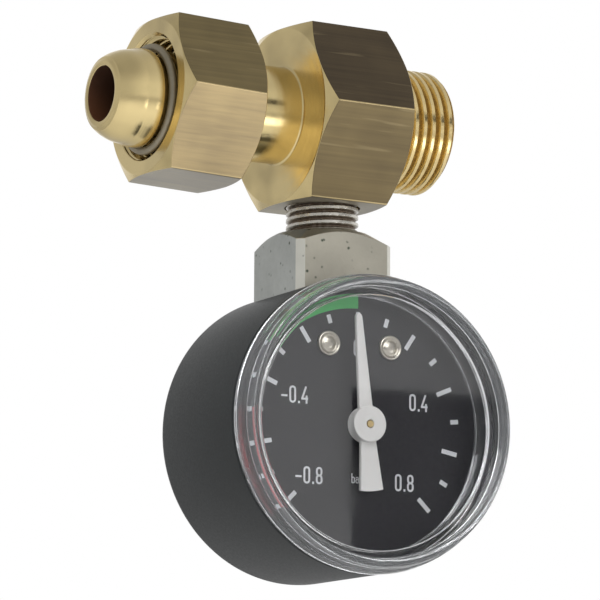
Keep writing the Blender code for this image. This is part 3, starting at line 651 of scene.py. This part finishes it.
def make_pointer(look):
    """Blade, hub and flared tail in one: a flat section whose half width follows the length."""
    lean = Matrix.Rotation(radians(4.95), 4, "Z")
    length = np.concatenate(([-11.7], np.linspace(-11.62, -2.6, 12), np.linspace(-2.2, 18.9, 24)))
    tip = 19.0 + 0.62 * np.sin(np.linspace(0.0, pi / 2, 8))
    length = np.concatenate((length, tip))
    wide = np.interp(length, [-11.7, -11.62, -3.0, 0.0, 19.0], [2.17, 2.25, 1.52, 1.5, 0.62])
    round_end = np.sqrt(np.maximum(0.62**2 - np.maximum(length - 19.0, 0.0) ** 2, 0.0))
    wide = np.where(length > 19.0, round_end, wide)
    soft = np.minimum(0.12, wide * 0.4)[:, None]
    top, low = 3.4, 2.7
    across = np.linspace(1.0, -1.0, 9)[None, :]
    edge = wide[:, None]
    flat = across * (edge - soft)
    shoulder = edge * 0 + top - soft
    x = np.concatenate((edge, flat, -edge, -across * edge), axis=1)
    z = np.concatenate((shoulder, flat * 0 + top, shoulder, flat * 0 + low), axis=1)
    y = np.broadcast_to(length[:, None], x.shape)
    curved = -np.sqrt(np.maximum(y**2 - x**2, 0.0))
    y = np.where(y < -10.5, curved, y)
    points = np.stack((x, y, z), axis=-1)
    first = np.broadcast_to(points[:1].mean(axis=1, keepdims=True), points[:1].shape)
    points = np.concatenate((first, points))[:, ::-1]
    blade = grid("blade", points, DIAL @ lean)
    hub = Outline(angles(96))
    hub.add([(0.75, 4.5), (3.2, 4.5), (3.2, 1.9), (0.75, 1.9)], reach=0.22, steps=5)
    piece = joined("pointer_moulding", [blade, turned("hub", hub, DIAL)])
    return settle(piece, "pointer_arbor", "pointer_white", [look], "pointer", sharp=40.0)


# ---------------------------------------------------------------- shader helpers

class Tree:
    """Short ways to add nodes to a material's tree or to a group's."""

    def __init__(self, tree):
        self.tree = tree

    def put(self, socket, value):
        if isinstance(value, bpy.types.NodeSocket):
            self.tree.links.new(value, socket)
        else:
            socket.default_value = value

    def add(self, kind, inputs=(), **settings):
        node = self.tree.nodes.new(kind)
        for name, value in settings.items():
            setattr(node, name, value)
        for key, value in dict(inputs).items():
            self.put(node.inputs[key], value)
        return node

    def math(self, operation, first, second=0.0, clamp=False):
        node = self.add("ShaderNodeMath", {0: first, 1: second}, operation=operation, use_clamp=clamp)
        return node.outputs[0]

    def stretch(self, vector, x, y, z):
        node = self.add("ShaderNodeVectorMath", {0: vector, 1: (x, y, z)}, operation="MULTIPLY")
        return node.outputs[0]

    def noise(self, vector, scale, detail=2.0, roughness=0.5):
        values = {"Vector": vector, "Scale": scale, "Detail": detail, "Roughness": roughness}
        return self.add("ShaderNodeTexNoise", values).outputs["Fac"]

    def fade(self, value, low, high, out_low=0.0, out_high=1.0):
        values = {"Value": value, "From Min": low, "From Max": high, "To Min": out_low, "To Max": out_high}
        return self.add("ShaderNodeMapRange", values).outputs["Result"]

    def blend(self, share, first, second, kind="MIX"):
        node = self.tree.nodes.new("ShaderNodeMix")
        node.data_type = "RGBA"
        node.blend_type = kind
        self.put(node.inputs["Factor"], share)
        self.put(node.inputs[6], first)
        self.put(node.inputs[7], second)
        return node.outputs[2]

    def bump(self, height, strength, distance):
        values = {"Height": height, "Strength": strength, "Distance": distance}
        return self.add("ShaderNodeBump", values).outputs["Normal"]


def shade_group(name, inputs, outputs, build):
    """A shader node group; build(tree, input sockets) returns one output socket for each output."""
    group = bpy.data.node_groups.new(name, "ShaderNodeTree")
    for label, kind in inputs:
        group.interface.new_socket(label, in_out="INPUT", socket_type=kind)
    for label, kind in outputs:
        group.interface.new_socket(label, in_out="OUTPUT", socket_type=kind)
    tree = Tree(group)
    start = tree.add("NodeGroupInput")
    end = tree.add("NodeGroupOutput")
    results = build(tree, start.outputs)
    for (label, kind), result in zip(outputs, results):
        group.links.new(result, end.inputs[label])
    return group


VECTOR, VALUE = "NodeSocketVector", "NodeSocketFloat"


def build_off_axis(tree, given):
    """Distance from an axis: the length of (place - centre), leaving out the axis direction."""
    away = tree.add("ShaderNodeVectorMath", {0: given["Place"], 1: given["Centre"]}, operation="SUBTRACT")
    flat = tree.add("ShaderNodeVectorMath", {0: away.outputs[0], 1: given["Across"]}, operation="MULTIPLY")
    return [tree.add("ShaderNodeVectorMath", {0: flat.outputs[0]}, operation="LENGTH").outputs["Value"]]


def build_lathe(tree, given):
    """Fine rings round the X axis: noise of the height and the radius, never of the angle."""
    split = tree.add("ShaderNodeSeparateXYZ", {0: given["Place"]}).outputs
    across = tree.math("POWER", split["Y"], 2.0)
    radius = tree.math("SQRT", tree.math("ADD", across, tree.math("POWER", split["Z"], 2.0)))
    flat = tree.add("ShaderNodeCombineXYZ", {"X": split["X"], "Y": radius}).outputs[0]
    fine = tree.noise(flat, 5200.0, 3.0, 0.7)
    broad = tree.noise(flat, 700.0, 2.0)
    return [tree.math("ADD", tree.math("MULTIPLY", fine, 0.7), tree.math("MULTIPLY", broad, 0.3)), broad]


def build_streaks(tree, given):
    """Drawing marks along X: noise squeezed across the bar, with a few long scratches."""
    fine = tree.noise(tree.stretch(given["Place"], 25.0, 1600.0, 1600.0), 1.0, 4.0, 0.6)
    broad = tree.noise(tree.stretch(given["Place"], 12.0, 420.0, 420.0), 1.0, 3.0, 0.55)
    shade = tree.math("ADD", tree.math("MULTIPLY", fine, 0.55), tree.math("MULTIPLY", broad, 0.45))
    odd = tree.noise(tree.stretch(given["Place"], 70.0, 900.0, 900.0), 1.0, 1.0)
    return [shade, tree.fade(odd, 0.66, 0.74)]


def build_pits(tree, given):
    """Small dark pits: the near part of scattered cells, kept only where a slow noise is high."""
    cells = tree.add("ShaderNodeTexVoronoi", {"Vector": given["Place"], "Scale": given["Scale"]})
    near = tree.fade(cells.outputs["Distance"], 0.10, 0.26, 1.0, 0.0)
    where = tree.fade(tree.noise(given["Place"], 420.0, 2.0), 0.5, 0.62)
    return [tree.math("MULTIPLY", near, where)]


def build_grain(tree, given):
    """Even surface grain and slow soft clouds."""
    return [tree.noise(given["Place"], given["Scale"], 2.0, 0.6), tree.noise(given["Place"], 90.0, 2.0)]


PLACE = ("Place", VECTOR)
OFF_AXIS = shade_group(
    "Off Axis", [PLACE, ("Centre", VECTOR), ("Across", VECTOR)], [("Distance", VALUE)], build_off_axis
)
LATHE = shade_group("Lathe Rings", [PLACE], [("Height", VALUE), ("Shade", VALUE)], build_lathe)
STREAKS = shade_group("Drawn Streaks", [PLACE], [("Shade", VALUE), ("Scratch", VALUE)], build_streaks)
PITS = shade_group("Pits", [PLACE, ("Scale", VALUE)], [("Mask", VALUE)], build_pits)
GRAIN = shade_group("Grain", [PLACE, ("Scale", VALUE)], [("Fine", VALUE), ("Cloud", VALUE)], build_grain)


class Look(Tree):
    """A material with one principled shader, and the place of each point in the object's own space."""

    def __init__(self, name, colour, metallic, roughness):
        self.material = bpy.data.materials.new(name)
        self.material.use_nodes = True
        super().__init__(self.material.node_tree)
        self.shader = self.tree.nodes["Principled BSDF"]
        self.place = self.add("ShaderNodeTexCoord").outputs["Object"]
        self.colour = (*colour, 1.0)
        self.set("Base Color", self.colour)
        self.set("Metallic", metallic)
        self.set("Roughness", roughness)

    def set(self, socket, value):
        self.put(self.shader.inputs[socket], value)

    def along(self, direction, centre):
        """How far each point lies along a direction from a centre, in metres."""
        both = {0: self.place, 1: tuple(direction)}
        reached = self.add("ShaderNodeVectorMath", both, operation="DOT_PRODUCT").outputs["Value"]
        return self.math("SUBTRACT", reached, centre.dot(direction))

    def use(self, group, **inputs):
        node = self.add("ShaderNodeGroup", node_tree=group)
        self.put(node.inputs["Place"], self.place)
        for label, value in inputs.items():
            self.put(node.inputs[label], value)
        return node.outputs


def turned_brass(name, colour=(0.80, 0.64, 0.32), roughness=0.17):
    """Brass off the lathe: fine rings round the axis and slow dull clouds."""
    look = Look(name, colour, 1.0, roughness)
    rings = look.use(LATHE)
    clouds = look.use(GRAIN, Scale=2500.0)
    dull = tuple(0.72 * c for c in colour) + (1.0,)
    look.set("Base Color", look.blend(look.fade(clouds["Cloud"], 0.45, 0.7), look.colour, dull))
    look.set("Roughness", look.fade(rings["Shade"], 0.3, 0.7, roughness * 0.75, roughness * 1.5))
    look.set("Normal", look.bump(rings["Height"], 0.35, 0.00004))
    return look.material


def drawn_brass(name, matrix, apothem, upper, lower, under):
    """Bar stock as drawn: streaks along X, and painted shade: a tone each for the flats above, below and
    underneath, standing in for the way the light falls on them.

    The painted tones and the painted highlight, a bright line along each edge, come from the drop: how far
    a point lies below the bar's axis, square to its lowest flat.
    """
    look = Look(name, upper, 1.0, 0.36)
    streaks = look.use(STREAKS)
    grain = look.use(GRAIN, Scale=420.0)
    down = (matrix.to_3x3() @ Vector((1, 0, 0))).normalized()
    drop = look.along(down, matrix.translation)
    flat = apothem * MM
    # Painted shade: one tone on the flats above the axis, a lighter one on those below and another on those
    # underneath, for the way the light falls on them.
    painted_face_shading = look.blend(look.fade(drop, -0.1 * MM, 0.1 * MM), (*upper, 1.0), (*lower, 1.0))
    painted_face_shading = look.blend(look.fade(drop, flat - 0.1 * MM, flat - 0.05 * MM), painted_face_shading, (*under, 1.0))
    streak = look.fade(streaks["Shade"], 0.3, 0.7, 0.0, 0.7)
    cloud = look.fade(grain["Cloud"], 0.35, 0.65, 0.0, 0.3)
    shade = look.math("ADD", streak, cloud)
    colour = look.blend(shade, (0.66, 0.66, 0.70, 1.0), (1.3, 1.29, 1.2, 1.0))
    colour = look.blend(1.0, painted_face_shading, colour, "MULTIPLY")
    scratched = look.math("MULTIPLY", streaks["Scratch"], 0.15)
    colour = look.blend(scratched, colour, (0.62, 0.5, 0.28, 1.0))
    # Painted highlight: a thin bright brass line along the edges where the upper and lower flats meet and
    # where the lower flats meet the underside.
    lower_edge = look.math("ABSOLUTE", look.math("SUBTRACT", drop, flat - 0.16 * MM))
    from_edge = look.math("MINIMUM", look.math("ABSOLUTE", drop), lower_edge)
    bright_share = look.fade(from_edge, 0.04 * MM, 0.17 * MM, 0.65, 0.0)
    look.set("Base Color", look.blend(bright_share, colour, (0.86, 0.68, 0.36, 1.0)))
    look.set("Roughness", look.fade(streaks["Shade"], 0.3, 0.7, 0.32, 0.46))
    look.set("Normal", look.bump(streaks["Shade"], 0.25, 0.00006))
    return look.material


def threaded(name, crest_colour, root_colour, centre, across, root, crest, roughness):
    """Bright crests and darker roots, told apart by the distance from the thread's axis."""
    look = Look(name, crest_colour, 1.0, roughness)
    distance = look.use(OFF_AXIS, Centre=centre, Across=across)["Distance"]
    grain = look.use(GRAIN, Scale=1400.0)
    height = look.fade(distance, root * MM, crest * MM)
    bright_share = look.math("ADD", height, look.fade(grain["Fine"], 0.3, 0.7, -0.25, 0.25), clamp=True)
    look.set("Base Color", look.blend(bright_share, (*root_colour, 1.0), look.colour))
    look.set("Roughness", look.fade(bright_share, 0.0, 1.0, min(0.9, roughness + 0.3), roughness))
    look.set("Normal", look.bump(grain["Fine"], 0.25, 0.00005))
    return look.material


def plated_nickel_painted_shading():
    """Nickel on a square block, with painted shade: a cooler tone on two faces, a warmer one on the
    other two, and a painted highlight on the bevels.
    """
    look = Look("plated_nickel_painted_shading", (0.58, 0.565, 0.52), 1.0, 0.4)
    # Painted shade: the faces towards and away from the dial get the warmer tone and the side faces the
    # cooler one; the bevels get a painted highlight.
    sideways = look.math("ABSOLUTE", look.along(RIGHT, STEM.translation))
    inwards = look.math("ABSOLUTE", look.along(BEHIND, STEM.translation))
    front = look.fade(look.math("SUBTRACT", inwards, sideways), -0.2 * MM, 0.2 * MM)
    bevel_sum = (2 * BLOCK_HALF - BLOCK_BEVEL) * MM
    bevel = look.fade(look.math("ADD", sideways, inwards), bevel_sum - 0.08 * MM, bevel_sum - 0.03 * MM)
    painted_face_shading = look.blend(front, (0.50, 0.515, 0.49, 1.0), (0.57, 0.54, 0.455, 1.0))
    painted_face_shading = look.blend(bevel, painted_face_shading, (0.86, 0.85, 0.77, 1.0))
    pits = look.use(PITS, Scale=700.0)["Mask"]
    grain = look.use(GRAIN, Scale=1100.0)
    cloud = look.fade(grain["Cloud"], 0.35, 0.65)
    shade = look.blend(cloud, (0.88, 0.88, 0.88, 1.0), (1.06, 1.06, 1.06, 1.0))
    colour = look.blend(1.0, painted_face_shading, shade, "MULTIPLY")
    look.set("Base Color", look.blend(pits, colour, (0.10, 0.12, 0.09, 1.0)))
    look.set("Roughness", look.fade(grain["Fine"], 0.3, 0.7, 0.36, 0.5))
    height = look.math("SUBTRACT", grain["Fine"], pits)
    look.set("Normal", look.bump(height, 0.3, 0.00008))
    return look.material


def grained(name, colour, metallic, roughness, scale=2200.0, depth=0.00004, vary=0.12):
    """A plain finish with a fine grain and slow, slight changes of shade."""
    look = Look(name, colour, metallic, roughness)
    grain = look.use(GRAIN, Scale=scale)
    dark = tuple((1.0 - vary) * c for c in colour) + (1.0,)
    light = tuple(min(1.0, (1.0 + vary) * c) for c in colour) + (1.0,)
    look.set("Base Color", look.blend(look.fade(grain["Cloud"], 0.35, 0.65), dark, light))
    look.set("Roughness", look.fade(grain["Fine"], 0.3, 0.7, roughness * 0.88, roughness * 1.12))
    look.set("Normal", look.bump(grain["Fine"], 0.2, depth))
    return look.material


def clear_plastic(name, colour, transmission, smooth, rough):
    """Clear moulding whose polish drifts between two roughness values."""
    look = Look(name, colour, 0.0, smooth)
    look.set("Transmission Weight", transmission)
    look.set("IOR", 1.49)
    cloud = look.use(GRAIN, Scale=1500.0)
    look.set("Roughness", look.fade(cloud["Cloud"], 0.3, 0.7, smooth, rough))
    return look.material


# ---------------------------------------------------------------- the pieces and their looks

STEM_AXIS = tuple(STEM.translation)
ACROSS_X = (0.0, 1.0, 1.0)
ACROSS_Z = (1.0, 1.0, 0.0)

brass = turned_brass("turned_brass_clean")
# Painted shade: each call gives the colours painted on the flats above, below and under the axis, set for one
# light; they turn with the piece.
body_flats_painted_shading = drawn_brass(
    "body_flats_painted_shading", FITTING, BODY_APOTHEM, (0.11, 0.083, 0.052), (0.20, 0.155, 0.085), (0.40, 0.37, 0.31)
)
nut_flats_painted_shading = drawn_brass(
    "nut_flats_painted_shading", NUT, NUT_APOTHEM, (0.23, 0.18, 0.09), (0.47, 0.365, 0.21), (0.46, 0.43, 0.37)
)
brass_thread = threaded(
    "brass_thread", (0.84, 0.66, 0.33), (0.50, 0.36, 0.15), (0.0, 0.0, 0.0), ACROSS_X, 10.3, 11.0, 0.2
)
stem_thread = threaded(
    "stem_thread", (0.68, 0.65, 0.59), (0.20, 0.15, 0.11), STEM_AXIS, ACROSS_Z, 5.8, 6.4, 0.25
)
black = grained("black_moulding", (0.008, 0.0105, 0.011), 0.0, 0.45, 2600.0, 0.00005)
steel = grained("bright_screw", (0.52, 0.49, 0.42), 1.0, 0.3)
wire = grained("spring_wire", (0.36, 0.32, 0.24), 1.0, 0.55)
movement = grained("movement_brass_plain", (0.74, 0.58, 0.30), 1.0, 0.3)
bronze = grained("tube_bronze_plain", (0.62, 0.42, 0.26), 1.0, 0.33)
looks = {
    "dial": grained("dial_paint", (0.016, 0.016, 0.020), 0.0, 0.6, 1600.0, 0.00002, 0.08),
    "print_white": grained("white_print", (0.72, 0.74, 0.76), 0.0, 0.6),
    "print_green": grained("green_print", (0.055, 0.50, 0.12), 0.0, 0.6),
    "print_red": grained("red_print", (0.58, 0.04, 0.055), 0.0, 0.6),
}

nickel = plated_nickel_painted_shading()
# Painted shade: the fitting's bore gets a dark brown, non-metal finish that stands in for the shade inside
# the hole.
bore = grained("bore_painted_shade", (0.05, 0.019, 0.008), 0.0, 0.55)
make_fitting_body([brass, body_flats_painted_shading, brass_thread, bore])
make_union_nut([brass, nut_flats_painted_shading, brass])
make_retaining_ring(wire)
make_gauge_stem([nickel, nickel, stem_thread])
make_case(black)
pane = clear_plastic("clear_pane", (0.99, 0.985, 0.99), 1.0, 0.0, 0.03)
rim = clear_plastic("clear_rim", (0.93, 0.95, 0.97), 0.955, 0.02, 0.07)
make_window([pane, rim])
make_dial(looks)
make_dial_screws(steel)
make_pointer(grained("white_moulding", (0.84, 0.84, 0.82), 0.0, 0.4, vary=0.03))

CARRIED = [
    (steel, ["restrictor_screw", "movement_screw_lower", "movement_screw_upper", "case_screw_left",
             "case_screw_right", "sector_arbor", "link_pin_lower", "link_pin_upper"]),
    (movement, ["pinion_arbor", "dial_spacer_left", "dial_spacer_right", "sector_gear",
                "movement_front_plate", "movement_back_plate", "pillar_left", "pillar_right",
                "hairspring_collet", "link"]),
    (bronze, ["bourdon_tube", "tube_end_piece", "hairspring"]),
]
for look, names in CARRIED:
    for name in names:
        mesh = bpy.data.objects[name].data
        mesh.materials.clear()
        mesh.materials.append(look)


# ---------------------------------------------------------------- stage, light and camera

def stage_panel(name, corners, look):
    """A flat four-sided panel of the stage, from corners in metres."""
    mesh = bpy.data.meshes.new(name)
    mesh.from_pydata([tuple(corner) for corner in corners], [], [(0, 1, 2, 3)])
    mesh.materials.append(look)
    panel = bpy.data.objects.new(name, mesh)
    bpy.context.scene.collection.objects.link(panel)
    return panel


def light_panel(name, place, target, size, power):
    light = bpy.data.lights.new(name, "AREA")
    light.shape = "RECTANGLE"
    light.size, light.size_y = size
    light.energy = power
    lamp = bpy.data.objects.new(name, light)
    away = (Vector(place) - Vector(target)).normalized()
    lamp.matrix_world = away.to_track_quat("Z", "Y").to_matrix().to_4x4()
    lamp.location = place
    bpy.context.scene.collection.objects.link(lamp)
    return lamp


AZIMUTH, ELEVATION, ROLL = radians(31.413), radians(-8.852), radians(0.334)
BACK = Vector((-sin(AZIMUTH) * cos(ELEVATION), -cos(AZIMUTH) * cos(ELEVATION), sin(ELEVATION)))
SIDE = (-BACK).cross(UP).normalized()
ABOVE = SIDE.cross(-BACK)
CAMERA_DISTANCE, LENS = 661.3, 225.72
CAMERA_PLACE = DIAL_CENTRE + (SIDE * -10.09 + ABOVE * 22.231 + BACK * CAMERA_DISTANCE) * MM


def make_camera():
    data = bpy.data.cameras.new("camera")
    data.lens = LENS
    data.sensor_width = 36.0
    data.clip_end = 20.0
    camera = bpy.data.objects.new("camera", data)
    side = SIDE * cos(ROLL) + ABOVE * sin(ROLL)
    above = ABOVE * cos(ROLL) - SIDE * sin(ROLL)
    camera.matrix_world = frame_of(side, above, BACK, CAMERA_PLACE)
    bpy.context.scene.collection.objects.link(camera)
    bpy.context.scene.camera = camera


def make_world():
    """A white backdrop beyond the object, softer walls, and a softer ceiling."""
    world = bpy.data.worlds.new("studio")
    world.use_nodes = True
    tree = Tree(world.node_tree)
    direction = tree.add("ShaderNodeTexCoord").outputs["Generated"]
    height = tree.add("ShaderNodeSeparateXYZ", {0: direction}).outputs["Z"]
    sideways = tree.add("ShaderNodeSeparateXYZ", {0: direction}).outputs["X"]
    round_about = tree.fade(sideways, -0.5, 0.3, 0.55, 0.85)
    ceiling = tree.fade(height, 0.35, 0.8)
    level = tree.math("MULTIPLY", round_about, tree.fade(ceiling, 0.0, 1.0, 1.0, 0.7))
    beyond = tree.add("ShaderNodeVectorMath", {0: direction, 1: tuple(-BACK)}, operation="DOT_PRODUCT")
    backdrop = tree.fade(beyond.outputs["Value"], 0.90, 0.985)
    black, white = (0.0, 0.0, 0.0, 1.0), (1.0, 1.0, 1.0, 1.0)
    colour = tree.blend(backdrop, tree.blend(level, black, white), white)
    tree.put(world.node_tree.nodes["Background"].inputs["Color"], colour)
    bpy.context.scene.world = world


def dark_panel(name, corners):
    panel = stage_panel(name, corners, grained(name + "_black", (0.02, 0.02, 0.02), 0.0, 0.8))
    panel.visible_camera = False
    panel.visible_shadow = False


def make_dark_cards():
    """One dark card that the pane mirrors in its lower right part, and one that the brass mirrors."""
    low, far = 8.8, 3000.0
    camera = DIAL.inverted() @ CAMERA_PLACE / MM
    mirrored = Vector((camera.x, camera.y, 2 * low - camera.z))
    corners = []
    for x, y in ((-5.5, 5.7), (34.0, 5.7), (34.0, -40.0), (-5.5, -40.0)):
        on_pane = Vector((x, y, low))
        share = far / (on_pane.z - mirrored.z)
        corners.append(DIAL @ ((on_pane + (on_pane - mirrored) * share) * MM))
    dark_panel("dark_card", corners)
    reach = far * MM
    corners = []
    for azimuth, elevation in ((24.0, 9.0), (75.0, 9.0), (75.0, 20.0), (24.0, 20.0)):
        around = radians(azimuth)
        corners.append((reach * sin(around), -reach * cos(around), reach * tan(radians(elevation))))
    dark_panel("dark_band", corners)


FLOOR = cad_low[2] - 0.45
WIDE = 4.0
make_camera()
make_world()
stage_panel(
    "floor",
    [(-WIDE, -WIDE, FLOOR), (WIDE, -WIDE, FLOOR), (WIDE, WIDE, FLOOR), (-WIDE, WIDE, FLOOR)],
    grained("pale_floor", (0.86, 0.86, 0.86), 0.0, 0.8, depth=0.0, vary=0.0),
)
make_dark_cards()
soft_light = light_panel("soft_light", (-0.4, -0.9, 0.7), (0.0, 0.0, -0.03), (1.0, 1.0), 14.0)
soft_light.visible_glossy = False
light_panel("low_light", (0.44, -0.66, -0.36), (-0.02, 0.0, 0.0), (0.5, 0.22), 0.8)
bpy.context.scene.view_settings.view_transform = "Standard"
